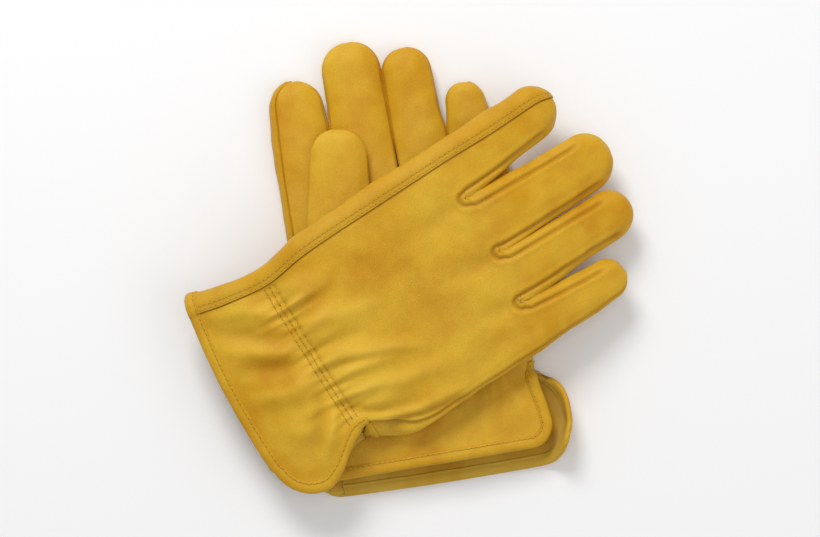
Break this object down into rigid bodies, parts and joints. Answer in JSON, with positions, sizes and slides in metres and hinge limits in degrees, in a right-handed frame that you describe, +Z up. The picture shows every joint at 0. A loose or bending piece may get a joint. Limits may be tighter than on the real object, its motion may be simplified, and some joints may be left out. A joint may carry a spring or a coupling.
{
  "type": "beekeeping gloves",
  "caption": "Pair of short yellow leather work gloves lying crossed, with an elastic wrist, a rolled cuff hem, side vents and a stitched strip along the index side.",
  "frame": {"origin": "centre of the pair's outline, on the table surface that it lies on", "axes": "+Z up from the table; the pair is seen in its usual direction from the -Y side; the left glove's fingers point roughly along +Y and the right glove's towards +X and +Y"},
  "size_m": [0.2442, 0.2496, 0.0561],
  "materials": {
    "leather": "soft grain, slightly worn",
    "leather_strip": "soft grain",
    "thread": "twisted thread",
    "elastic": "woven elastic"
  },
  "bodies": {
    "left_glove": {"left_back_panel": "leather", "left_palm_panel": "leather", "left_index_strip": "leather_strip", "left_fourchette_roots": "leather", "left_back_hem": "leather_strip", "left_palm_hem": "leather_strip", "left_wrist_elastic": "elastic", "left_seam_threads": "thread", "left_thumb_front": "leather", "left_thumb_rear": "leather"},
    "left_thumb_tip": {"left_thumb_tip_front": "leather", "left_thumb_tip_rear": "leather"},
    "left_index": {"left_index_back": "leather", "left_index_front": "leather", "left_index_side": "leather_strip", "left_index_fourchette": "leather"},
    "left_middle": {"left_middle_back": "leather", "left_middle_front": "leather", "left_middle_fourchette_a": "leather", "left_middle_fourchette_b": "leather"},
    "left_ring": {"left_ring_back": "leather", "left_ring_front": "leather", "left_ring_fourchette_a": "leather", "left_ring_fourchette_b": "leather"},
    "left_pinky": {"left_pinky_back": "leather", "left_pinky_front": "leather", "left_pinky_fourchette": "leather", "left_pinky_side": "leather"},
    "right_glove": {"right_back_panel": "leather", "right_palm_panel": "leather", "right_index_strip": "leather_strip", "right_fourchette_roots": "leather", "right_back_hem": "leather_strip", "right_palm_hem": "leather_strip", "right_wrist_elastic": "elastic", "right_seam_threads": "thread", "right_thumb_front": "leather", "right_thumb_rear": "leather"},
    "right_index": {"right_index_back": "leather", "right_index_front": "leather", "right_index_side": "leather_strip", "right_index_fourchette": "leather"},
    "right_middle": {"right_middle_back": "leather", "right_middle_front": "leather", "right_middle_fourchette_a": "leather", "right_middle_fourchette_b": "leather"},
    "right_ring": {"right_ring_back": "leather", "right_ring_front": "leather", "right_ring_fourchette_a": "leather", "right_ring_fourchette_b": "leather"},
    "right_pinky": {"right_pinky_back": "leather", "right_pinky_front": "leather", "right_pinky_fourchette": "leather", "right_pinky_side": "leather"}
  },
  "joints": [
    {"name": "right_glove_lift", "type": "slide", "parent": "left_glove", "child": "right_glove", "axis": [0, 0, 1], "range_m": [0, 0.12]},
    {"name": "left_index_curl", "type": "hinge", "parent": "left_glove", "child": "left_index", "pos_m": [-0.0603, 0.07473, 0.0155], "axis": [0.9863, 0.165, 0], "range_deg": [0, 60]},
    {"name": "left_middle_curl", "type": "hinge", "parent": "left_glove", "child": "left_middle", "pos_m": [-0.02798, 0.08217, 0.0155], "axis": [0.9863, 0.165, 0], "range_deg": [0, 60]},
    {"name": "left_ring_curl", "type": "hinge", "parent": "left_glove", "child": "left_ring", "pos_m": [0.00324, 0.08131, 0.0155], "axis": [0.9863, 0.165, 0], "range_deg": [0, 60]},
    {"name": "left_pinky_curl", "type": "hinge", "parent": "left_glove", "child": "left_pinky", "pos_m": [0.03315, 0.08023, 0.0155], "axis": [0.9863, 0.165, 0], "range_deg": [0, 35]},
    {"name": "left_thumb_curl", "type": "hinge", "parent": "left_glove", "child": "left_thumb_tip", "pos_m": [-0.03882, 0.05298, 0.0225], "axis": [0.9863, 0.165, 0], "range_deg": [0, 45]},
    {"name": "right_index_lift", "type": "hinge", "parent": "right_glove", "child": "right_index", "pos_m": [0.03122, 0.05567, 0.05342], "axis": [0.5375, -0.8214, -0.1908], "range_deg": [0, 35]},
    {"name": "right_middle_lift", "type": "hinge", "parent": "right_glove", "child": "right_middle", "pos_m": [0.05028, 0.02654, 0.04666], "axis": [0.5375, -0.8214, -0.1908], "range_deg": [0, 35]},
    {"name": "right_ring_lift", "type": "hinge", "parent": "right_glove", "child": "right_ring", "pos_m": [0.0673, 0.00054, 0.04062], "axis": [0.5375, -0.8214, -0.1908], "range_deg": [0, 35]},
    {"name": "right_pinky_lift", "type": "hinge", "parent": "right_glove", "child": "right_pinky", "pos_m": [0.08147, -0.02478, 0.03499], "axis": [0.5375, -0.8214, -0.1908], "range_deg": [0, 35]}
  ]
}
